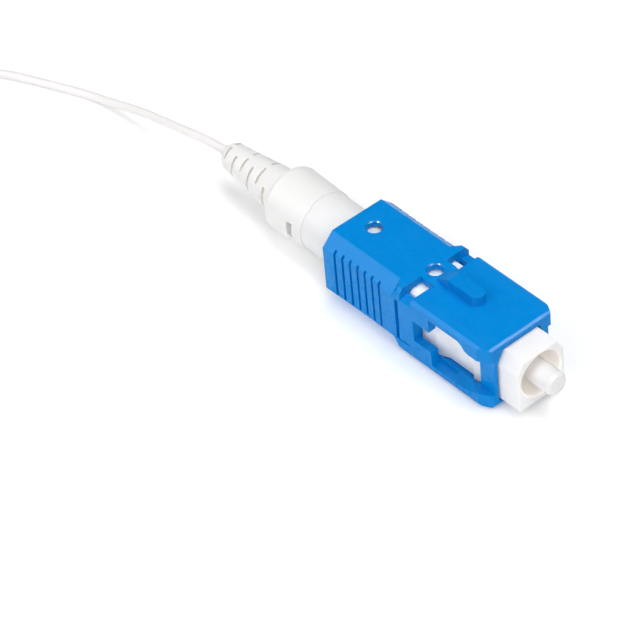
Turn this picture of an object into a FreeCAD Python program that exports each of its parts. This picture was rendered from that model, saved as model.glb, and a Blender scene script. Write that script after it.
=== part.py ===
import FreeCAD, Part
import os
import math

# SC push-pull fibre connector on a 0.9 mm tight-buffered pigtail.
# Millimetres. +X is the mating direction, +Y to the connector's left, +Z up with the key on top.
# The pieces are drawn with x = 0 at the front face of the coupling housing, y = 0 in its middle plane and
# z = 0 on the plane it lies on. They are saved with the origin on that plane, under the middle of the
# connector's length from the boot's end to the ferrule's tip.

V = FreeCAD.Vector

# ---------------------------------------------------------------- driving dimensions
ZC = 3.98                 # height of the optical axis

# coupling housing
HOUSING_BACK = -23.03     # rear face
BLOCK_W = 4.50            # half width of the front block
BLOCK_H = 3.70            # half height of the front block
GRIP_W = 4.53             # half width over the grip
GRIP_H = 3.98             # half height over the grip
GRIP_CHAMFER = 1.39
GRIP_END = -13.20         # where the grip's corner chamfers run out
BLOCK_START = -12.50      # full-width block from here forward
PLATE_END = -10.45        # the raised rear top face ends here
NOSE_X = 1.33             # front corner cut, along X
NOSE_Y = 0.70             # front corner cut, across Y
KEY_W = 0.82              # half width of the key
KEY_TOP = 8.80
KEY_FRONT = -5.10
KEY_RAMP = -9.10          # the ramp behind the key meets its top here
RIB_GROOVE_X = [-21.40, -20.33, -19.27, -18.22, -17.17, -16.13, -15.10]
RIB_GROOVE_W = 0.30
RIB_GROOVE_D = 0.45
STEP_X = -12.56           # groove between the grip and the block
HOLE_X = [-20.46, -11.77]
HOLE_R = 0.80
WALL_IN = 3.60            # inner face of the side walls
OPEN_Y = 3.10             # half width of the front opening
CAV_BOTTOM = 0.80         # floor of the front cavity
CAV_TOP = 6.88            # roof of the front cavity
MID_FRONT = -9.25
DECK_BACK = -13.15         # the frame's square-shouldered deck under the front hole and the slots
MID_TOP = 7.18            # roof of the cavity under the front hole and the cross slots
POST_Y = 3.45             # outer face of the front posts, set back from the sides
POST_BACK = -2.06         # front end of the side windows
CAP_Z = 5.97              # the posts start below this height
SILL_Z = 1.75             # and end on this one
POCKET_Z = 1.05           # floor of the pocket in the lower rail
LIP_Z = 1.42              # lip between the pocket and the cavity
LIP_Y = 3.22
LIP_T = 0.16

# plug frame
FRAME_FRONT = 2.65
FRAME_W = 2.93            # half width of the nose
FRAME_BOTTOM = 0.90
FRAME_TOP = 6.80
FRAME_BACK = -17.40
SHOULDER_X = -3.65        # latching shoulder
NECK_BACK = -7.47         # the neck ramps out again from here
WAIST_FRONT = -8.65
NECK_W = 2.45             # half width just behind the shoulder
SLEEVE_BORE_R = 2.45      # bore that takes the adapter's sleeve holder
SEAT_FRONT = -1.90
SEAT_BACK = -2.90
CHAMBER_R = 2.10
REAR_BORE_R = 2.45
MID_BACK = -13.00         # the housing's narrow middle starts here
LUG_W = 3.42

# ferrule
FERRULE_R = 1.2495
FERRULE_TIP = 4.95
FERRULE_L = 10.50
FIBRE_R = 0.0625
FERRULE_BORE_R = 0.0635

# flange, spring, rear body
COLLAR_R = 2.00
COLLAR_BACK = -4.30
HUB_R = 1.50
HUB_BACK = -6.20
TUBE_R = 1.10
TUBE_BACK = -12.40
SPRING_MEAN_R = 1.74
SPRING_WIRE_R = 0.17
BODY_FRONT = -11.60
BODY_R = 3.20
HEAD_FRONT = -28.05       # front edge of the boot's head
STUB_R = 2.30
STUB_BACK = -32.60

# boot and cord
BOOT_BACK = -43.45
CORD_R = 0.45
CORD_BORE_R = 0.50
SLOT_W = 0.28

# travel of the housing on the frame, each way from rest, and of the ferrule into the frame
PULL_BACK = 1.20
PUSH_ON = 1.10
FERRULE_TRAVEL = 1.00
STOP_GAP = 0.02
LUG_FRONT = MID_BACK - PULL_BACK - STOP_GAP
LUG_BACK = LUG_FRONT - 1.25

# where the origin is, in the drawing frame
ORIGIN_X = (BOOT_BACK + FERRULE_TIP) / 2

os.makedirs("parts", exist_ok=True)


# ---------------------------------------------------------------- helpers
def box(x0, x1, y0, y1, z0, z1):
    return Part.makeBox(x1 - x0, y1 - y0, z1 - z0, V(x0, y0, z0))


def cyl_x(r, x0, x1, y=0.0, z=ZC):
    return Part.makeCylinder(r, x1 - x0, V(x0, y, z), V(1, 0, 0))


def cone_x(r0, r1, x0, x1, z=ZC):
    return Part.makeCone(r0, r1, x1 - x0, V(x0, 0, z), V(1, 0, 0))


def wire_yz(x, pts):
    vs = [V(x, y, z) for y, z in pts]
    return Part.makePolygon(vs + [vs[0]])


def prism_x(x0, x1, pts):
    return Part.Face(wire_yz(x0, pts)).extrude(V(x1 - x0, 0, 0))


def prism_y(y0, y1, pts):
    vs = [V(x, y0, z) for x, z in pts]
    return Part.Face(Part.makePolygon(vs + [vs[0]])).extrude(V(0, y1 - y0, 0))


def prism_z(z0, z1, pts):
    vs = [V(x, y, z0) for x, y in pts]
    return Part.Face(Part.makePolygon(vs + [vs[0]])).extrude(V(0, 0, z1 - z0))


def octagon(w, z0, z1, top_y, top_z, low_y, low_z):
    return [
        (-w + low_y, z0), (w - low_y, z0), (w, z0 + low_z), (w, z1 - top_z),
        (w - top_y, z1), (-w + top_y, z1), (-w, z1 - top_z), (-w, z0 + low_z),
    ]


def turned(pts):
    # pts are (x, r) points and ('arc', (x, r), (x, r)) through-points, closed back along the axis
    edges = []
    here = pts[0]
    for p in pts[1:]:
        if p[0] == "arc":
            a, b = p[1], p[2]
            edges.append(Part.Arc(V(here[0], 0, ZC + here[1]), V(a[0], 0, ZC + a[1]), V(b[0], 0, ZC + b[1])).toShape())
            here = b
        else:
            edges.append(Part.LineSegment(V(here[0], 0, ZC + here[1]), V(p[0], 0, ZC + p[1])).toShape())
            here = p
    if (here[0] - pts[0][0]) ** 2 + (here[1] - pts[0][1]) ** 2 > 1e-12:
        edges.append(Part.LineSegment(V(here[0], 0, ZC + here[1]), V(pts[0][0], 0, ZC + pts[0][1])).toShape())
    face = Part.Face(Part.Wire(edges))
    return face.revolve(V(0, 0, ZC), V(1, 0, 0), 360)


def cut(a, *bs):
    for b in bs:
        a = a.cut(b)
    return a


def save(name, shape):
    if name != "spring":
        shape = shape.removeSplitter()
    solids = shape.Solids
    if len(solids) == 1:
        shape = solids[0]
    shape = shape.translated(V(-ORIGIN_X, 0, 0))
    print("%-18s solids %d valid %s volume %.3f" % (name, len(solids), shape.isValid(), shape.Volume))
    shape.exportStep("parts/%s.step" % name)
    return shape


# ---------------------------------------------------------------- coupling housing
def outer_housing():
    grip_profile = octagon(GRIP_W, 0, 2 * GRIP_H, GRIP_CHAMFER, GRIP_CHAMFER, GRIP_CHAMFER, GRIP_CHAMFER)
    grip = prism_x(HOUSING_BACK, GRIP_END, grip_profile)
    # each grip side is very slightly hollow along its length
    hollow_r, hollow_x, depth = 50.7, -17.6, 0.20
    for s in (-1, 1):
        c = Part.makeCylinder(hollow_r, 12, V(hollow_x, s * (GRIP_W - depth + hollow_r), -2), V(0, 0, 1))
        grip = grip.cut(c)
    # the chamfers fade into the full-width block
    block_profile = octagon(BLOCK_W, ZC - BLOCK_H, ZC + GRIP_H, 0.45, 0.55, 0.15, 0.15)
    fade = Part.makeLoft([wire_yz(GRIP_END, grip_profile), wire_yz(BLOCK_START, block_profile)], True, True)
    plate = prism_x(BLOCK_START, PLATE_END, block_profile)
    # the raised rear top face falls gently to the block between the cross slots
    slope_line = [(-10.80, ZC + GRIP_H), (-9.90, ZC + BLOCK_H)]
    plate = plate.cut(prism_y(-6, 6, slope_line + [(-9.90, 10), (-10.80, 10)]))
    front = prism_x(PLATE_END, 0, octagon(BLOCK_W, ZC - BLOCK_H, ZC + BLOCK_H, 0.30, 0.30, 0.15, 0.15))
    for s in (-1, 1):
        front = front.cut(prism_z(-1, 9, [(-NOSE_X, s * BLOCK_W), (0.5, s * BLOCK_W), (0.5, s * (BLOCK_W - NOSE_Y * (1 + 0.5 / NOSE_X))), ]
                          if s > 0 else
                          [(-NOSE_X, -BLOCK_W), (0.5, -(BLOCK_W - NOSE_Y * (1 + 0.5 / NOSE_X))), (0.5, -BLOCK_W)]))
        front = front.cut(prism_z(-1, 9, [(-NOSE_X, s * BLOCK_W), (0.5, s * BLOCK_W), (0.5, s * (BLOCK_W + 1)), (-NOSE_X, s * (BLOCK_W + 1))]))
    # small bevel along the front top and bottom edges
    front = front.cut(prism_y(-6, 6, [(-0.22, ZC + BLOCK_H), (0.1, ZC + BLOCK_H), (0.1, ZC + BLOCK_H - 0.32)]))
    front = front.cut(prism_y(-6, 6, [(-0.15, ZC - BLOCK_H), (0.1, ZC - BLOCK_H), (0.1, ZC - BLOCK_H + 0.25)]))
    # the skid under the block continues the grip's flat underside
    skid = prism_x(BLOCK_START, PLATE_END, [(-3.14, ZC - BLOCK_H + 0.1), (3.14, ZC - BLOCK_H + 0.1), (2.95, 0), (-2.95, 0)])
    skid = skid.cut(prism_y(-6, 6, [(PLATE_END - 0.5, 0), (PLATE_END, 0.28), (PLATE_END + 0.2, 0.28), (PLATE_END + 0.2, 0)]))
    slope = prism_y(-1.65, 1.65, slope_line + [(-9.90, ZC + BLOCK_H - 0.3), (-10.80, ZC + BLOCK_H - 0.3)])
    # key with its ramp and rounded nose
    nose_c = KEY_FRONT - KEY_W
    key_plan = Part.Face(Part.Wire([
        Part.LineSegment(V(-11.2, -KEY_W, ZC + 3.3), V(nose_c, -KEY_W, ZC + 3.3)).toShape(),
        Part.Arc(V(nose_c, -KEY_W, ZC + 3.3), V(KEY_FRONT, 0, ZC + 3.3), V(nose_c, KEY_W, ZC + 3.3)).toShape(),
        Part.LineSegment(V(nose_c, KEY_W, ZC + 3.3), V(-11.2, KEY_W, ZC + 3.3)).toShape(),
        Part.LineSegment(V(-11.2, KEY_W, ZC + 3.3), V(-11.2, -KEY_W, ZC + 3.3)).toShape(),
    ])).extrude(V(0, 0, KEY_TOP - ZC - 3.3))
    key_side = prism_y(-2, 2, [(-11.2, ZC + 3.3), (-4.5, ZC + 3.3), (-4.5, KEY_TOP), (KEY_RAMP, KEY_TOP), (-10.75, ZC + GRIP_H), (-11.2, ZC + GRIP_H)])
    key = key_plan.common(key_side)
    body = grip.fuse([fade, plate, front, skid, slope, key])
    body = body.removeSplitter()

    # rib grooves on both grip sides
    for x in RIB_GROOVE_X:
        for s in (-1, 1):
            y = s * (GRIP_W - 0.02)
            y0, y1 = sorted((s * (GRIP_W - RIB_GROOVE_D), s * (GRIP_W + 0.6)))
            body = body.cut(box(x - RIB_GROOVE_W / 2, x + RIB_GROOVE_W / 2, y0, y1, ZC - 2.62, ZC + 3.02))
    # deep step groove between grip and block
    for s in (-1, 1):
        y0, y1 = sorted((s * 4.15, s * 5.0))
        body = body.cut(box(STEP_X - 0.21, STEP_X + 0.22, y0, y1, ZC - 2.55, ZC + 2.50))
        y0, y1 = sorted((s * 4.36, s * 5.0))
        body = body.cut(box(STEP_X + 0.22, -10.9, y0, y1, ZC - 2.55, ZC - 2.37))

    # bore through the rear: room for the rear body
    rear = prism_x(HOUSING_BACK - 1, MID_BACK, octagon(3.55, ZC - 3.35, ZC + 3.35, 1.2, 1.2, 1.2, 1.2))
    mouth = prism_x(HOUSING_BACK - 1, HOUSING_BACK + 0.3, octagon(3.70, ZC - 3.45, ZC + 3.45, 1.2, 1.2, 1.2, 1.2))
    mid = prism_x(DECK_BACK - PUSH_ON - 0.15, MID_FRONT, octagon(3.15, CAV_BOTTOM, MID_TOP, 0.35, 0.35, 0.3, 0.3))
    fore = box(-10.5, -2.5, -WALL_IN, WALL_IN, LIP_Z, CAV_TOP).fuse(box(-10.5, -2.5, -LIP_Y, LIP_Y, CAV_BOTTOM, LIP_Z + 0.1))
    open_profile = [(-OPEN_Y, CAV_BOTTOM), (OPEN_Y, CAV_BOTTOM), (OPEN_Y, 5.42), (2.28, CAV_TOP), (-2.28, CAV_TOP), (-OPEN_Y, 5.42)]
    wide_profile = [(-LIP_Y, CAV_BOTTOM), (LIP_Y, CAV_BOTTOM), (LIP_Y + 0.1, 5.90), (2.9, CAV_TOP), (-2.9, CAV_TOP), (-LIP_Y - 0.1, 5.90)]
    lead = Part.makeLoft([wire_yz(-2.55, wide_profile), wire_yz(POST_BACK, open_profile)], True, True)
    lead2 = prism_x(POST_BACK - 0.01, 1.0, open_profile)
    body = cut(body, rear, mouth, mid, fore, lead, lead2)

    # inward ridges behind the frame's side lugs: the forward stop of the housing
    for s in (-1, 1):
        ridge_front = LUG_BACK - PUSH_ON - STOP_GAP
        ridge_back = ridge_front - 0.9
        pts = [(ridge_back - 0.5, s * 3.60), (ridge_back, s * 3.28), (ridge_front, s * 3.28), (ridge_front, s * 3.60)]
        body = body.fuse(prism_z(ZC - 1.1, ZC + 1.1, pts if s < 0 else pts[::-1]))
    body = body.removeSplitter()

    # round holes in the top
    for x in HOLE_X:
        body = body.cut(Part.makeCylinder(HOLE_R, 6, V(x, 0, ZC + 1.0), V(0, 0, 1)))
        body = body.cut(Part.makeCone(HOLE_R, HOLE_R + 0.12, 0.12, V(x, 0, ZC + GRIP_H - 0.12), V(0, 0, 1)))

    # cross slots beside the key: an open inner half and a stepped outer floor
    for s in (-1, 1):
        y0, y1 = sorted((s * 1.65, s * 3.40))
        body = body.cut(box(-12.0, PLATE_END, y0, y1, ZC + 2.0, 9.5))
        pts = [(3.35, ZC + 3.05), (5.0, ZC + 2.68), (5.0, 9.5), (3.35, 9.5)]
        vs = [V(-12.0, s * a, b) for a, b in pts]
        body = body.cut(Part.Face(Part.makePolygon(vs + [vs[0]])).extrude(V(PLATE_END + 12.0, 0, 0)))

    # side windows, open above the sill of the lower rail
    window = [
        (-10.30, 2.70), (-7.85, 2.70), (-7.85, SILL_Z), (POST_BACK, SILL_Z), (POST_BACK, CAP_Z), (-2.45, 5.95),
        (-3.00, 6.10), (-3.40, 6.55), (-3.95, 6.80), (-8.00, 6.80), (-8.00, 5.20), (-10.30, 5.20),
    ]
    for s in (-1, 1):
        y0, y1 = sorted((s * 3.0, s * 5.0))
        body = body.cut(prism_y(y0, y1, window))
        # the posts at the front are set back from the sides
        y0, y1 = sorted((s * POST_Y, s * 5.0))
        body = body.cut(box(POST_BACK - 0.2, 0.5, y0, y1, SILL_Z, CAP_Z))
        # pocket in the lower rail, with a floor that ramps up askew to the sill
        lip = LIP_Y + LIP_T
        low = [(-7.85, lip), (-7.85, 4.6), (-2.85, 4.6), (-5.61, lip)]
        high = [(-7.85, lip), (-7.85, 4.6), (-1.10, 4.6), (-3.86, lip)]
        wires = []
        for zz, plan in ((POCKET_Z, low), (SILL_Z + 0.02, high)):
            vs = [V(x, s * y, zz) for x, y in plan]
            wires.append(Part.makePolygon(vs + [vs[0]]))
        body = body.cut(Part.makeLoft(wires, True, True))
        # the lip between pocket and cavity is lower than the sill
        y0, y1 = sorted((s * 3.0, s * (lip + 0.01)))
        body = body.cut(box(-7.85, -3.86, y0, y1, LIP_Z, SILL_Z + 0.02))
    return body


# ---------------------------------------------------------------- plug frame
def plug_frame():
    nose_profile = octagon(FRAME_W, FRAME_BOTTOM, FRAME_TOP, 0.80, 1.45, 0.12, 0.12)
    nose = prism_x(-10.6, FRAME_FRONT, nose_profile)
    # small bevel round the front face
    bevel = Part.makeLoft([
        wire_yz(FRAME_FRONT - 0.10, nose_profile),
        wire_yz(FRAME_FRONT, octagon(FRAME_W - 0.07, FRAME_BOTTOM + 0.07, FRAME_TOP - 0.07, 0.78, 1.42, 0.10, 0.10)),
    ], True, True)
    nose = nose.cut(box(FRAME_FRONT - 0.10, FRAME_FRONT + 1, -4, 4, 0, 9)).fuse(bevel)
    tall_front = MID_FRONT - PULL_BACK - 0.15
    waist = prism_x(tall_front, -7.20, octagon(3.05, FRAME_BOTTOM, FRAME_TOP, 0.6, 0.6, 0.6, 0.6))
    deck = prism_x(DECK_BACK, tall_front, octagon(3.05, ZC - 3.05, ZC + 3.05, 0.30, 0.30, 0.60, 0.60))
    rear = prism_x(FRAME_BACK, DECK_BACK, octagon(3.05, ZC - 3.05, ZC + 3.05, 0.75, 0.75, 0.75, 0.75))
    body = nose.fuse([waist, deck, rear])
    # sides step in behind the latching shoulder and ramp out again towards the rear
    for s in (-1, 1):
        pts = [(SHOULDER_X, s * NECK_W), (SHOULDER_X, s * 4.0), (WAIST_FRONT, s * 4.0), (WAIST_FRONT, s * 3.05), (NECK_BACK, s * NECK_W)]
        body = body.cut(prism_z(0, 9, pts))
    # side lugs that slide between the housing's stops
    for s in (-1, 1):
        pts = [(LUG_BACK, s * 2.9), (LUG_BACK, s * LUG_W), (LUG_FRONT - 0.35, s * LUG_W), (LUG_FRONT, s * 3.25), (LUG_FRONT, s * 2.9)]
        body = body.fuse(prism_z(ZC - 1.2, ZC + 1.2, pts))
    body = body.removeSplitter()
    # bores
    body = cut(
        body,
        cyl_x(SLEEVE_BORE_R, SEAT_FRONT, FRAME_FRONT + 1),
        cone_x(SLEEVE_BORE_R, SLEEVE_BORE_R + 0.18, FRAME_FRONT - 0.18, FRAME_FRONT),
        cyl_x(1.65, SEAT_BACK - 0.1, SEAT_FRONT + 0.1),
        cyl_x(CHAMBER_R, -10.7, SEAT_BACK),
        cyl_x(REAR_BORE_R, FRAME_BACK - 1, -10.6),
    )
    # windows that the rear body's ears click into, top and bottom
    for s in (-1, 1):
        z0, z1 = sorted((ZC + s * 1.5, ZC + s * 3.6))
        body = body.cut(box(-16.20, -14.80, -1.15, 1.15, z0, z1))
    return body


# ---------------------------------------------------------------- ferrule and its flange
def ferrule():
    back = FERRULE_TIP - FERRULE_L
    body = turned([
        (back, 0), (back, FERRULE_R - 0.25), (back + 0.25, FERRULE_R), (-2.30, FERRULE_R), (-2.30, 1.05), (-1.70, 1.05), (-1.70, FERRULE_R),
        (4.50, FERRULE_R), (4.86, 1.00), ("arc", (4.928, 0.55), (FERRULE_TIP, 0)),
    ])
    body = body.cut(cyl_x(FERRULE_BORE_R, back - 1, FERRULE_TIP + 1))
    # entry funnel for the fibre at the rear
    return body.cut(cone_x(0.45, FERRULE_BORE_R, back, back + 0.7))


def ferrule_flange():
    body = turned([
        (-1.70, 0), (-1.70, 1.50), (-1.78, 1.58), (SEAT_BACK, 1.58), (SEAT_BACK, COLLAR_R - 0.12), (SEAT_BACK - 0.12, COLLAR_R),
        (COLLAR_BACK, COLLAR_R), (COLLAR_BACK, HUB_R), (HUB_BACK, HUB_R), (HUB_BACK - 0.35, TUBE_R), (TUBE_BACK, TUBE_R), (TUBE_BACK, 0),
    ])
    back = FERRULE_TIP - FERRULE_L
    body = cut(body, cyl_x(FERRULE_R, back, 0), cyl_x(CORD_BORE_R, TUBE_BACK - 1, back + 0.1))
    # four tuning notches in the collar
    for a in range(4):
        n = box(COLLAR_BACK - 0.1, SEAT_BACK + 0.1, -0.28, 0.28, ZC + 1.68, ZC + 2.4)
        n.rotate(V(0, 0, ZC), V(1, 0, 0), 45 + 90 * a)
        body = body.cut(n)
    return body


def spring():
    # closed-end compression coil between the flange collar and the rear body
    turns = 8.0
    x0 = BODY_FRONT + SPRING_WIRE_R + 0.03
    x1 = COLLAR_BACK - SPRING_WIRE_R - 0.03
    pitch = (x1 - x0) / turns
    helix = Part.makeLongHelix(pitch, x1 - x0, SPRING_MEAN_R, 0)
    helix.rotate(V(0, 0, 0), V(0, 1, 0), 90)
    helix.translate(V(x0, 0, ZC))
    e = helix.Edges[0]
    p = e.valueAt(e.FirstParameter)
    t = e.tangentAt(e.FirstParameter)
    prof = Part.Wire(Part.Circle(p, t, SPRING_WIRE_R).toShape())
    pipe = Part.BRepOffsetAPI.MakePipeShell(Part.Wire(helix.Edges))
    pipe.setFrenetMode(True)
    pipe.add(prof)
    pipe.build()
    pipe.makeSolid()
    return pipe.shape()


def glass_fibre():
    return cyl_x(FIBRE_R, -6.50, FERRULE_TIP - 0.001)


# ---------------------------------------------------------------- rear body and boot
def rear_body():
    body = turned([
        (BODY_FRONT, 0), (BODY_FRONT, 2.25), (BODY_FRONT - 0.15, 2.40), (FRAME_BACK, 2.40), (FRAME_BACK, BODY_R - 0.15), (FRAME_BACK - 0.15, BODY_R),
        (HEAD_FRONT, BODY_R), (HEAD_FRONT, STUB_R), (STUB_BACK + 0.3, STUB_R), (STUB_BACK, STUB_R - 0.3), (STUB_BACK, 0),
    ])
    # ears that click into the plug frame, top and bottom
    for s in (-1, 1):
        pts = [(-16.05, ZC + s * 2.2), (-16.05, ZC + s * 2.95), (-15.7, ZC + s * 2.95), (-14.95, ZC + s * 2.45), (-14.95, ZC + s * 2.2)]
        body = body.fuse(prism_y(-1.0, 1.0, pts))
    # bosses that click into the boot's windows, left and right
    for s in (-1, 1):
        pts = [(-29.92, s * 2.1), (-29.92, s * 2.72), (-29.75, s * 2.72), (-29.45, s * 2.45), (-29.45, s * 2.1)]
        body = body.fuse(prism_z(ZC - 0.72, ZC + 0.72, pts))
    body = body.removeSplitter()
    return cut(
        body,
        cyl_x(1.17, -13.6, BODY_FRONT + 1),
        cyl_x(1.70, -27.0, -13.5),
        cone_x(0.75, 1.70, -28.2, -27.0),
        cyl_x(0.75, STUB_BACK - 1, -28.1),
    )


def boot():
    body = turned([
        (HEAD_FRONT, 0), (HEAD_FRONT, 3.30), (HEAD_FRONT - 0.05, 3.34), (-32.75, 3.50), ("arc", (-33.25, 3.41), (-33.48, 3.12)),
        (-33.62, 2.72), ("arc", (-33.87, 2.47), (-34.35, 2.372)), (-41.20, 1.61), (-41.60, 1.56), ("arc", (-42.30, 1.43), (-42.58, 1.18)),
        (-42.72, 0.72), ("arc", (-42.85, 0.63), (-43.05, 0.61)), (BOOT_BACK, 0.59),
        (BOOT_BACK, 0),
    ])
    # hollow for the rear body's stub, then the bore for the cord
    body = cut(
        body,
        cyl_x(2.35, -32.9, HEAD_FRONT + 1),
        cone_x(CORD_BORE_R, 2.35, -34.2, -32.9),
        cyl_x(CORD_BORE_R, BOOT_BACK - 1, -34.1),
    )
    for s in (-1, 1):
        y0, y1 = sorted((s * 2.0, s * 4.0))
        body = body.cut(box(-30.05, -29.30, y0, y1, ZC - 0.88, ZC + 0.88))

    # flexing slots: rings of four short slots above and below alternate with rings of two side slots
    def ring(x, w, core, half_deg, at_deg):
        r = cyl_x(4.5, x - w / 2, x + w / 2).cut(cyl_x(core, x - w, x + w))
        wedge = None
        n = 8
        pts = [(0, 0)]
        for i in range(n + 1):
            a = math.radians(at_deg - half_deg + 2 * half_deg * i / n)
            pts.append((6 * math.cos(a), 6 * math.sin(a)))
        vs = [V(x - w, y, ZC + zz) for y, zz in pts]
        wedge = Part.Face(Part.makePolygon(vs + [vs[0]])).extrude(V(2 * w, 0, 0))
        return r.common(wedge)

    for x, core in ((-41.80, 0.80), (-39.05, 0.95), (-36.35, 1.10)):
        for at in (53, 127, 233, 307):
            body = body.cut(ring(x, SLOT_W, core, 27, at))
    for x, core in ((-40.42, 0.88), (-37.70, 1.02)):
        for at in (0, 180):
            body = body.cut(ring(x, SLOT_W, core, 62, at))
    for at in (0, 180):
        body = body.cut(ring(-35.05, 0.42, 1.55, 34, at))
    return body


def inner_buffer():
    # the tight-buffered fibre inside the connector, free to slide in the flange's tube
    return cyl_x(CORD_R, BOOT_BACK, -7.60)


# ---------------------------------------------------------------- the free cord
# The cord leaves the boot on the axis, comes down onto the surface and curves away to its coil.
ROUTE = [
    (-43.45, 0.0, 3.98),
    (-46.1, -0.13, 3.91),
    (-49.5, -0.42, 3.29),
    (-53.4, -0.42, 2.40),
    (-57.4, -0.62, 1.58),
    (-61.0, -1.14, 0.72),
    (-64.0, -1.72, 0.45),
    (-68.0, -3.48, 0.45),
    (-72.6, -5.42, 0.45),
    (-77.6, -8.80, 0.45),
    (-82.1, -10.85, 0.45),
    (-86.9, -12.08, 0.48),
    (-91.8, -12.46, 0.61),
]

# The rest of it, wound and tied: the cord joins the outer bottom turn as a tangent.
COIL_MEAN_R = 6.885
COIL_SEC_R = 1.85         # half width of the wound section, four turns side by side
COIL_Z0 = 0.16
COIL_Z1 = 5.58            # six rows high
COIL_CORNER = 0.42
COIL_X = -92.55
COIL_Y = -4.19
TIE_T = 0.15
TIE_HALF_DEG = 14.0
TIE_AT_DEG = 150.0


def route_wire(points):
    # straight runs joined by tangent arcs
    pts = [V(*p) for p in points]
    edges = []
    start = pts[0]
    radii = []
    for i in range(1, len(pts) - 1):
        a, b, c = pts[i - 1], pts[i], pts[i + 1]
        u = (a - b).normalize()
        w = (c - b).normalize()
        la, lc = (a - b).Length, (c - b).Length
        turn = math.pi - math.acos(max(-1.0, min(1.0, u.dot(w))))
        t = 0.45 * min(la, lc)
        r = t / math.tan(turn / 2)
        radii.append((r, math.degrees(turn)))
        p0 = b + u * t
        p1 = b + w * t
        mid_dir = (u + w).normalize()
        d = math.sqrt(t * t + r * r)
        m = b + mid_dir * (d - r)
        edges.append(Part.LineSegment(start, p0).toShape())
        edges.append(Part.Arc(p0, m, p1).toShape())
        start = p1
    edges.append(Part.LineSegment(start, pts[-1]).toShape())
    return Part.Wire(edges), radii


def fibre_cord():
    wire, radii = route_wire(ROUTE)
    for i, (r, deg) in enumerate(radii):
        print("cord point %d radius %.1f turn %.1f" % (i + 1, r, deg))
    d = (V(*ROUTE[1]) - V(*ROUTE[0])).normalize()
    prof = Part.Wire(Part.Circle(V(*ROUTE[0]), d, CORD_R).toShape())
    tube = wire.makePipeShell([prof], True, False)
    want = math.pi * CORD_R ** 2 * wire.Length
    print("cord length %.2f volume %.3f of %.3f" % (wire.Length, tube.Volume, want))
    return tube


def coil_section(grow):
    w, z0, z1, c = COIL_SEC_R + grow, COIL_Z0 - grow, COIL_Z1 + grow, COIL_CORNER + 0.586 * grow
    return [
        (COIL_MEAN_R - w, z0 + c), (COIL_MEAN_R - w + c, z0), (COIL_MEAN_R + w - c, z0), (COIL_MEAN_R + w, z0 + c),
        (COIL_MEAN_R + w, z1 - c), (COIL_MEAN_R + w - c, z1), (COIL_MEAN_R - w + c, z1), (COIL_MEAN_R - w, z1 - c),
    ]


def coil_face(grow):
    vs = [V(COIL_X + r, COIL_Y, z) for r, z in coil_section(grow)]
    return Part.Face(Part.makePolygon(vs + [vs[0]]))


def cord_coil():
    # outer shape of the wound turns
    return coil_face(0).revolve(V(COIL_X, COIL_Y, 0), V(0, 0, 1), 360)


def coil_tie():
    # a flat strip closed round the turns
    ring = coil_face(TIE_T).cut(coil_face(0))
    tie = ring.revolve(V(COIL_X, COIL_Y, 0), V(0, 0, 1), 2 * TIE_HALF_DEG)
    tie.rotate(V(COIL_X, COIL_Y, 0), V(0, 0, 1), TIE_AT_DEG - TIE_HALF_DEG)
    return tie


if __name__ == "__main__":
    save("outer_housing", outer_housing())
    save("plug_frame", plug_frame())
    save("ferrule", ferrule())
    save("ferrule_flange", ferrule_flange())
    save("spring", spring())
    save("glass_fibre", glass_fibre())
    save("rear_body", rear_body())
    save("boot", boot())
    save("inner_buffer", inner_buffer())
    save("fibre_cord", fibre_cord())
    save("cord_coil", cord_coil())
    save("coil_tie", coil_tie())
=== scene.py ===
import math

import bmesh
import bpy
from mathutils import Matrix, Vector


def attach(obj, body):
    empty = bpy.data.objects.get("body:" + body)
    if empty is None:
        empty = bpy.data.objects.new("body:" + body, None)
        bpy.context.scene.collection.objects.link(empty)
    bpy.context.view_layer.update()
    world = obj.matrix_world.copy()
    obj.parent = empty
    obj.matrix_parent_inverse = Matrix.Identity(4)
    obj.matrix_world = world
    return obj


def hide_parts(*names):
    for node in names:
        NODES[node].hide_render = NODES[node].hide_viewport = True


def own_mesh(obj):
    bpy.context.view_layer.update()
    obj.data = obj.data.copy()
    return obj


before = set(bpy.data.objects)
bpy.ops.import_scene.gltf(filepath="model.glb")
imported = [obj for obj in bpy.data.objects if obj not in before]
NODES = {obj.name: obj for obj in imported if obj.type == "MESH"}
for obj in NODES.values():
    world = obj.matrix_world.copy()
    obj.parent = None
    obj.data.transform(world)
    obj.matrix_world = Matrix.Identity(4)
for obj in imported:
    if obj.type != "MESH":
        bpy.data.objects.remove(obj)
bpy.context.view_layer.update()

MM = 0.001
# the drawing frame of the part has its zero this far in front of the row's origin, in mm
OX = 19.25


def mm(x, y, z):
    return Vector(((x + OX) * MM, y * MM, z * MM))


scene = bpy.context.scene

# ------------------------------------------------------------------ camera
cam_data = bpy.data.cameras.new("view_camera")
cam = bpy.data.objects.new("view_camera", cam_data)
scene.collection.objects.link(cam)
cam_data.sensor_width = 36.0
cam_data.lens = 215.466
cam_data.clip_start = 0.02
cam_data.clip_end = 5.0
cam_data.dof.use_dof = False
right = Vector((0.65593538, 0.75144608, -0.07125699))
down = Vector((0.47796861, -0.48656430, -0.73130103))
forward = Vector((-0.58420440, 0.44562761, -0.67832238))
turn = Matrix((right, -down, -forward)).transposed()
cam.matrix_world = Matrix.Translation((0.214685, -0.172328, 0.251479)) @ turn.to_4x4()
scene.camera = cam

# ------------------------------------------------------------------ light
scene.view_settings.view_transform = "Standard"
scene.view_settings.look = "None"
scene.view_settings.exposure = 0.0
scene.view_settings.gamma = 1.0

world = bpy.data.worlds.new("studio_air")
scene.world = world
world.use_nodes = True
world.node_tree.nodes["Background"].inputs["Color"].default_value = (1.0, 1.0, 1.0, 1.0)
world.node_tree.nodes["Background"].inputs["Strength"].default_value = 0.12


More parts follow.
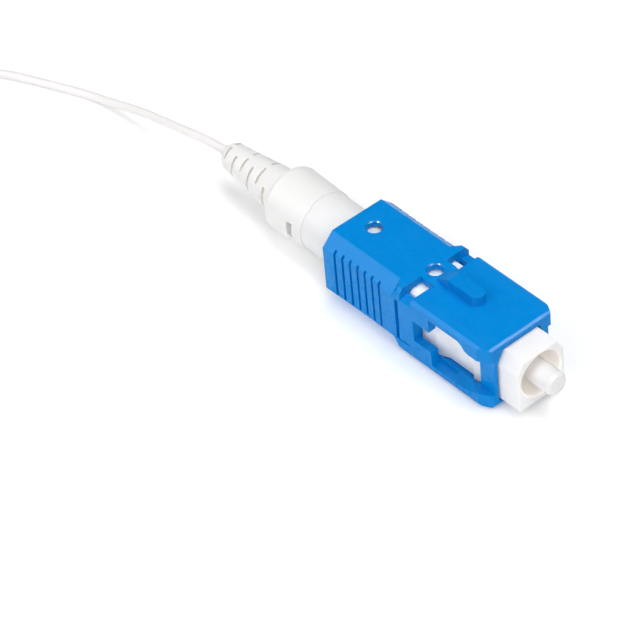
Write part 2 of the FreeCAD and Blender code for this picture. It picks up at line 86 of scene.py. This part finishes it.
def softbox(name, toward, distance, size, power, tint=(1.0, 1.0, 1.0)):
    d = Vector(toward).normalized()
    data = bpy.data.lights.new(name, "AREA")
    data.shape = "RECTANGLE"
    data.size, data.size_y = size
    data.energy = power
    data.color = tint
    o = bpy.data.objects.new(name, data)
    scene.collection.objects.link(o)
    aim = Vector((0.002, 0.0, 0.004))
    o.location = aim + d * distance
    o.rotation_mode = "QUATERNION"
    o.rotation_quaternion = (-d).to_track_quat("-Z", "Y")
    return o


softbox("box_top", (0.08, 0.24, 0.97), 0.60, (0.44, 0.44), 2.45)
softbox("box_left", (0.04, -0.78, 0.62), 0.60, (0.34, 0.34), 1.30)
softbox("box_right", (0.74, -0.28, 0.61), 0.60, (0.34, 0.34), 1.15)
softbox("box_back", (-0.80, -0.34, 0.50), 0.60, (0.34, 0.34), 0.60)


def glint(name, toward, distance, size, power):
    """A soft box that only shows as a highlight on glossy edges."""
    o = softbox(name, toward, distance, size, power)
    o.visible_diffuse = False
    return o


glint("glint_right", (0.700, 0.36, 0.61), 0.60, (0.24, 0.24), 4.5)
glint("glint_left", (-0.03, -0.76, 0.65), 0.60, (0.13, 0.13), 17.0)
glint("glint_rim", (0.74, -0.02, 0.67), 0.60, (0.10, 0.10), 9.0)
glint("glint_chamfer", (-0.58, -0.68, 0.45), 0.60, (0.16, 0.16), 0.45)

# ------------------------------------------------------------------ node helpers


def new_material(name):
    m = bpy.data.materials.new(name)
    m.use_nodes = True
    return m, m.node_tree, m.node_tree.nodes["Principled BSDF"]


def node(tree, kind, **settings):
    n = tree.nodes.new(kind)
    for k, v in settings.items():
        setattr(n, k, v)
    return n


def noise(tree, coords, scale, detail=3.0, rough=0.5):
    n = node(tree, "ShaderNodeTexNoise")
    n.inputs["Scale"].default_value = scale
    n.inputs["Detail"].default_value = detail
    n.inputs["Roughness"].default_value = rough
    tree.links.new(coords, n.inputs["Vector"])
    return n.outputs["Fac"]


def ramp(tree, value, stops):
    n = node(tree, "ShaderNodeValToRGB")
    e = n.color_ramp.elements
    while len(e) < len(stops):
        e.new(0.5)
    for slot, (pos, col) in zip(e, stops):
        slot.position = pos
        slot.color = (*col, 1.0) if len(col) == 3 else col
    tree.links.new(value, n.inputs["Fac"])
    return n.outputs["Color"]


def remap(tree, value, lo, hi, a=0.0, b=1.0):
    n = node(tree, "ShaderNodeMapRange")
    n.inputs["From Min"].default_value = a
    n.inputs["From Max"].default_value = b
    n.inputs["To Min"].default_value = lo
    n.inputs["To Max"].default_value = hi
    tree.links.new(value, n.inputs["Value"])
    return n.outputs["Result"]


def bump(tree, height, distance, strength=1.0, normal=None):
    n = node(tree, "ShaderNodeBump")
    n.inputs["Distance"].default_value = distance
    n.inputs["Strength"].default_value = strength
    tree.links.new(height, n.inputs["Height"])
    if normal is not None:
        tree.links.new(normal, n.inputs["Normal"])
    return n.outputs["Normal"]


def maths(tree, how, a, b=None):
    n = node(tree, "ShaderNodeMath", operation=how)
    for slot, v in zip(n.inputs, (a, b)):
        if v is None:
            continue
        if isinstance(v, (int, float)):
            slot.default_value = v
        else:
            tree.links.new(v, slot)
    return n.outputs[0]


def depth_inside(tree, coords, radius, slope=0.0, at=0.0):
    """How far a point lies inside a cone round the plug's axis, in metres."""
    axes = node(tree, "ShaderNodeSeparateXYZ")
    tree.links.new(coords, axes.inputs[0])
    z = maths(tree, "POWER", maths(tree, "ABSOLUTE", maths(tree, "SUBTRACT", axes.outputs["Z"], 3.98 * MM)), 2.0)
    r = maths(tree, "SQRT", maths(tree, "ADD", maths(tree, "POWER", maths(tree, "ABSOLUTE", axes.outputs["Y"]), 2.0), z))
    edge = maths(tree, "ADD", maths(tree, "MULTIPLY", maths(tree, "SUBTRACT", axes.outputs["X"], at), slope), radius)
    return maths(tree, "SUBTRACT", edge, r)


def moulded(name, colour_a, colour_b, rough, spec=0.5, sub=0.0, sub_radius=(0.0006, 0.0006, 0.0007), grain=5.0e-6, coat=0.0, mottle=260.0,
            painted_slot_shade=None, painted_light=None, patchy=0.0, matt=None):
    """Injection-moulded plastic: faint flow mottling in the colour, uneven gloss and a fine spark-eroded grain."""
    m, t, b = new_material(name)
    co = node(t, "ShaderNodeTexCoord").outputs["Object"]
    flow = noise(t, co, mottle, 4.0, 0.55)
    skin = ramp(t, flow, [(0.32, colour_a), (0.68, colour_b)])
    if painted_light:
        # painted light: behind x, and inside the well of the given radius, the surface is painted this lighter colour
        # in place of the shade that falls there: (colour, x, radius)
        tone, behind, radius = painted_light
        parts = node(t, "ShaderNodeSeparateXYZ")
        t.links.new(co, parts.inputs[0])
        back = maths(t, "LESS_THAN", parts.outputs["X"], behind)
        well = maths(t, "GREATER_THAN", depth_inside(t, co, radius), 0.0)
        mix = node(t, "ShaderNodeMix", data_type="RGBA", blend_type="MIX")
        t.links.new(maths(t, "MAXIMUM", back, well), mix.inputs[0])
        t.links.new(skin, mix.inputs[6])
        deep = ramp(t, flow, [(0.32, tuple(c * 0.985 for c in tone)), (0.68, tone)])
        t.links.new(deep, mix.inputs[7])
        skin = mix.outputs[2]
        # painted glow: the well glows a faint warm tone and the surface behind x a fainter white, lightening the shade
        # in them; neither is a lamp
        painted_glow = node(t, "ShaderNodeMix", data_type="RGBA", blend_type="MIX")
        t.links.new(well, painted_glow.inputs[0])
        t.links.new(maths(t, "MULTIPLY", back, 0.07), painted_glow.inputs[6])
        painted_glow.inputs[7].default_value = (0.110, 0.090, 0.068, 1.0)
        t.links.new(painted_glow.outputs[2], b.inputs["Emission Color"])
        b.inputs["Emission Strength"].default_value = 1.0
    if painted_slot_shade:
        # painted shade: the surfaces near the axis, down in the boot's slots, are painted a warm tone for the light
        # and shade inside them: (colour, radius, slope, at, start, end, rear end)
        tone, radius, slope, at, start, end, rear_end = painted_slot_shade
        mix = node(t, "ShaderNodeMix", data_type="RGBA", blend_type="MIX")
        axes = node(t, "ShaderNodeSeparateXYZ")
        t.links.new(co, axes.inputs[0])
        deep = remap(t, depth_inside(t, co, radius, slope, at), 0.0, 1.0, start, end)
        ahead = maths(t, "GREATER_THAN", axes.outputs["X"], rear_end)
        t.links.new(maths(t, "MULTIPLY", deep, ahead), mix.inputs[0])
        t.links.new(skin, mix.inputs[6])
        mix.inputs[7].default_value = (*tone, 1.0)
        skin = mix.outputs[2]
    t.links.new(skin, b.inputs["Base Color"])
    gloss = noise(t, co, mottle * 3.1, 3.0, 0.6)
    shine = remap(t, gloss, rough - 0.05 - patchy / 2, rough + 0.06 + patchy, 0.3, 0.7)
    if matt:
        # the grain is coarser on the key's ramp and on the far chamfer: (x behind which the ramp lies, its height, chamfer y, chamfer z)
        ramp_x, ramp_z, side_y, side_z = matt
        parts = node(t, "ShaderNodeSeparateXYZ")
        t.links.new(co, parts.inputs[0])
        key_zone = maths(t, "MULTIPLY", maths(t, "LESS_THAN", parts.outputs["X"], ramp_x), maths(t, "GREATER_THAN", parts.outputs["Z"], ramp_z))
        side_zone = maths(t, "MULTIPLY", maths(t, "GREATER_THAN", maths(t, "ABSOLUTE", parts.outputs["Y"]), side_y),
                          maths(t, "GREATER_THAN", parts.outputs["Z"], side_z))
        shine = maths(t, "ADD", shine, maths(t, "ADD", maths(t, "MULTIPLY", key_zone, 0.45), maths(t, "MULTIPLY", side_zone, 0.10)))
    t.links.new(shine, b.inputs["Roughness"])
    fine = noise(t, co, 9000.0, 2.0, 0.5)
    wave = noise(t, co, 420.0, 2.0, 0.5)
    n1 = bump(t, wave, grain * 5.0)
    t.links.new(bump(t, fine, grain, 1.0, n1), b.inputs["Normal"])
    b.inputs["Specular IOR Level"].default_value = spec
    if sub > 0:
        b.inputs["Subsurface Weight"].default_value = sub
        b.inputs["Subsurface Radius"].default_value = (1.0, 1.0, 1.0)
        b.inputs["Subsurface Scale"].default_value = sub_radius[0]
    if coat > 0:
        b.inputs["Coat Weight"].default_value = coat
        b.inputs["Coat Roughness"].default_value = 0.08
    return m


def metal(name, colour, rough):
    m, t, b = new_material(name)
    co = node(t, "ShaderNodeTexCoord").outputs["Object"]
    lay = node(t, "ShaderNodeMapping")
    lay.inputs["Scale"].default_value = (9000.0, 700.0, 700.0)
    t.links.new(co, lay.inputs["Vector"])
    lines = noise(t, lay.outputs["Vector"], 1.0, 3.0, 0.6)
    dark = tuple(c * 0.86 for c in colour)
    t.links.new(ramp(t, lines, [(0.3, dark), (0.7, colour)]), b.inputs["Base Color"])
    t.links.new(remap(t, lines, rough - 0.06, rough + 0.08, 0.3, 0.7), b.inputs["Roughness"])
    t.links.new(bump(t, lines, 2.0e-6), b.inputs["Normal"])
    b.inputs["Metallic"].default_value = 1.0
    return m


BLUE = moulded("housing_blue", (0.0, 0.214, 0.612), (0.0, 0.225, 0.637), 0.26, spec=0.07, patchy=0.04, grain=3.0e-6, coat=0.05,
                matt=((-9.05 + OX) * MM, 7.990 * MM, 3.30 * MM, 6.0 * MM))
# painted light: the frame's neck behind x and its well are painted lighter and glow faintly, to lift the shade there
FRAME_WHITE = moulded("frame_white", (0.818, 0.815, 0.818), (0.833, 0.830, 0.834), 0.36, spec=0.10, sub=0.65, sub_radius=(0.0010, 0, 0),
                      painted_light=((0.985, 0.965, 0.945), (-3.62 + OX) * MM, 2.62 * MM))
BODY_WHITE = moulded("body_white", (0.758, 0.757, 0.764), (0.772, 0.771, 0.778), 0.42, spec=0.10, sub=0.15)
# painted shade: the boot's slot interiors are painted a warm tone
BOOT_WHITE = moulded("boot_white", (0.772, 0.766, 0.762), (0.786, 0.780, 0.776), 0.50, spec=0.10, sub=0.20,
                     painted_slot_shade=((0.95, 0.84, 0.70), 0.00161, 0.1113, (-41.2 + OX) * MM, 0.00012, 0.00045, (-42.3 + OX) * MM))
CERAMIC = moulded("zirconia", (0.760, 0.755, 0.765), (0.775, 0.770, 0.780), 0.20, spec=0.2, sub=0.2, grain=1.0e-6, mottle=500.0)
CORD_WHITE = moulded("cord_white", (0.800, 0.775, 0.775), (0.816, 0.790, 0.790), 0.44, spec=0.10, sub=0.08, grain=3.0e-6)
CORE_WHITE = moulded("buffer_white", (0.80, 0.80, 0.79), (0.83, 0.83, 0.82), 0.44, spec=0.25)
TIE_GREY = moulded("tie_grey", (0.52, 0.53, 0.55), (0.60, 0.61, 0.63), 0.5, spec=0.3)
NICKEL = metal("nickel", (0.66, 0.63, 0.58), 0.28)
STEEL = metal("spring_steel", (0.58, 0.58, 0.60), 0.30)


def silica():
    m, t, b = new_material("silica")
    co = node(t, "ShaderNodeTexCoord").outputs["Object"]
    n = noise(t, co, 2500.0)
    t.links.new(ramp(t, n, [(0.3, (0.80, 0.85, 0.88)), (0.7, (0.88, 0.92, 0.94))]), b.inputs["Base Color"])
    b.inputs["Roughness"].default_value = 0.05
    b.inputs["Transmission Weight"].default_value = 0.3
    b.inputs["IOR"].default_value = 1.46
    return m


SILICA = silica()

# ------------------------------------------------------------------ pieces


def paint(obj, material):
    if obj.data.materials:
        for i in range(len(obj.data.materials)):
            obj.data.materials[i] = material
    else:
        obj.data.materials.append(material)


def softened(name, source, body, material, radius, angle=20.0, segments=4):
    """A copy of a CAD node with its moulded edges rounded."""
    src = NODES[source]
    bm = bmesh.new()
    bm.from_mesh(src.data)
    bm.transform(src.matrix_world)
    bmesh.ops.remove_doubles(bm, verts=bm.verts, dist=2.0e-7)
    bmesh.ops.dissolve_degenerate(bm, edges=bm.edges, dist=1.0e-7)
    bmesh.ops.dissolve_limit(bm, angle_limit=math.radians(0.25), verts=bm.verts, edges=bm.edges)
    sharp = [e for e in bm.edges if len(e.link_faces) == 2 and e.calc_face_angle(0.0) > math.radians(angle)]
    bmesh.ops.bevel(bm, geom=sharp, offset=radius * MM, offset_type="OFFSET", segments=segments, profile=0.5,
                    affect="EDGES", clamp_overlap=True, miter_outer="SHARP", miter_inner="SHARP", harden_normals=False)
    bmesh.ops.triangulate(bm, faces=[f for f in bm.faces if len(f.verts) > 4])
    mesh = bpy.data.meshes.new(name)
    bm.to_mesh(mesh)
    bm.free()
    obj = bpy.data.objects.new(name, mesh)
    scene.collection.objects.link(obj)
    mesh.materials.append(material)
    for p in mesh.polygons:
        p.use_smooth = True
        p.material_index = 0
    mesh.set_sharp_from_angle(angle=math.radians(25.0))
    w = obj.modifiers.new("even_shading", "WEIGHTED_NORMAL")
    w.keep_sharp = True
    w.weight = 80
    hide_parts(source)
    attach(obj, body)
    return obj


housing = softened("housing_moulding", "outer_housing", "shell", BLUE, 0.09)
plug = softened("frame_moulding", "plug_frame", "core", FRAME_WHITE, 0.06)
rear = softened("body_moulding", "rear_body", "core", BODY_WHITE, 0.05)
boot = softened("boot_moulding", "boot", "core", BOOT_WHITE, 0.04)

paint(NODES["ferrule"], CERAMIC)
paint(NODES["ferrule_flange"], NICKEL)
paint(NODES["glass_fibre"], SILICA)
paint(NODES["inner_buffer"], CORE_WHITE)
paint(NODES["coil_tie"], TIE_GREY)

# the spring: a steel copy of the CAD coil, fixed to the core (in the real plug it shortens as the ferrule is pushed
# in)
coil_src = NODES["spring"]
coil_mesh = coil_src.data.copy()
coil_mesh.transform(coil_src.matrix_world)
coil_mesh.materials.clear()
coil_mesh.materials.append(STEEL)
for face in coil_mesh.polygons:
    face.material_index = 0
spring = bpy.data.objects.new("spring_wire", coil_mesh)
scene.collection.objects.link(spring)
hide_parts("spring")
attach(spring, "core")
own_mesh(spring)

# ------------------------------------------------------------------ the cord
ROUTE = [
    (-43.45, 0.0, 3.98),
    (-46.1, -0.13, 3.91),
    (-49.5, -0.42, 3.29),
    (-53.4, -0.42, 2.40),
    (-57.4, -0.62, 1.58),
    (-61.0, -1.14, 0.72),
    (-64.0, -1.72, 0.45),
    (-68.0, -3.48, 0.45),
    (-72.6, -5.42, 0.45),
    (-77.6, -8.80, 0.45),
    (-82.1, -10.85, 0.45),
    (-86.9, -12.08, 0.48),
    (-91.8, -12.46, 0.61),
]
COIL_X, COIL_Y = -92.55, -4.19
INNER_R, COIL_Z = 5.49, 0.615
TURN_PITCH, ROW_PITCH = 0.93, 0.90
ACROSS, ROWS = 4, 6
JOIN = math.radians(270.0)
TURNS = 20.85
PER_TURN = 18


def coil_moves():
    """Where the wound cord steps to the next turn or climbs to the next row, in turns from the join."""
    moves = []
    start = 0.30
    for row in range(ROWS):
        moves += [(start + k, "turn", -1 if row % 2 == 0 else 1) for k in range(ACROSS - 1)]
        climb = start + ACROSS - 1 - 0.25
        moves.append((climb, "row", 1))
        start = climb + 0.75
    return moves[:-1]


MOVES = coil_moves()


def wound(turn):
    across, row = ACROSS - 1.0, 0.0
    for t, what, step in MOVES:
        s = max(0.0, min(1.0, (turn - t) / 0.25))
        s = s * s * (3 - 2 * s)
        if what == "turn":
            across += step * s
        else:
            row += step * s
    return INNER_R + TURN_PITCH * across, COIL_Z + ROW_PITCH * row


def coil_points():
    grow = 1 / (0.75 + 0.25 * math.cos(2 * math.pi / PER_TURN))
    out = []
    for i in range(1, int(round(TURNS * PER_TURN)) + 1):
        t = i / PER_TURN
        r, z = wound(t)
        a = JOIN - 2 * math.pi * t
        out.append((COIL_X + r * grow * math.cos(a), COIL_Y + r * grow * math.sin(a), z))
    return out


curve = bpy.data.curves.new("pigtail_cord", "CURVE")
curve.dimensions = "3D"
line = curve.splines.new("NURBS")
points = [mm(*p) for p in ROUTE] + [mm(*p) for p in coil_points()]
line.points.add(len(points) - 1)
for slot, p in zip(line.points, points):
    slot.co = (p.x, p.y, p.z, 1.0)
line.order_u = 3
line.use_endpoint_u = True
line.resolution_u = 5
curve.bevel_depth = 0.00045
curve.bevel_resolution = 5
curve.use_fill_caps = True
curve.materials.append(CORD_WHITE)
cord = bpy.data.objects.new("pigtail_cord", curve)
scene.collection.objects.link(cord)
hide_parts("fibre_cord", "cord_coil")
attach(cord, "core")

# ------------------------------------------------------------------ floor
me = bpy.data.meshes.new("studio_floor")
bm = bmesh.new()
bmesh.ops.create_grid(bm, x_segments=8, y_segments=8, size=1.2)
bm.to_mesh(me)
bm.free()
floor = bpy.data.objects.new("studio_floor", me)
scene.collection.objects.link(floor)
fm, ft, fb = new_material("studio_floor")
fco = node(ft, "ShaderNodeTexCoord").outputs["Object"]
ft.links.new(ramp(ft, noise(ft, fco, 60.0), [(0.3, (0.980, 0.980, 0.980)), (0.7, (0.990, 0.990, 0.990))]), fb.inputs["Base Color"])
fb.inputs["Roughness"].default_value = 0.9
fb.inputs["Emission Color"].default_value = (1.0, 1.0, 1.0, 1.0)
fb.inputs["Emission Strength"].default_value = 0.05
fb.inputs["Specular IOR Level"].default_value = 0.1
me.materials.append(fm)
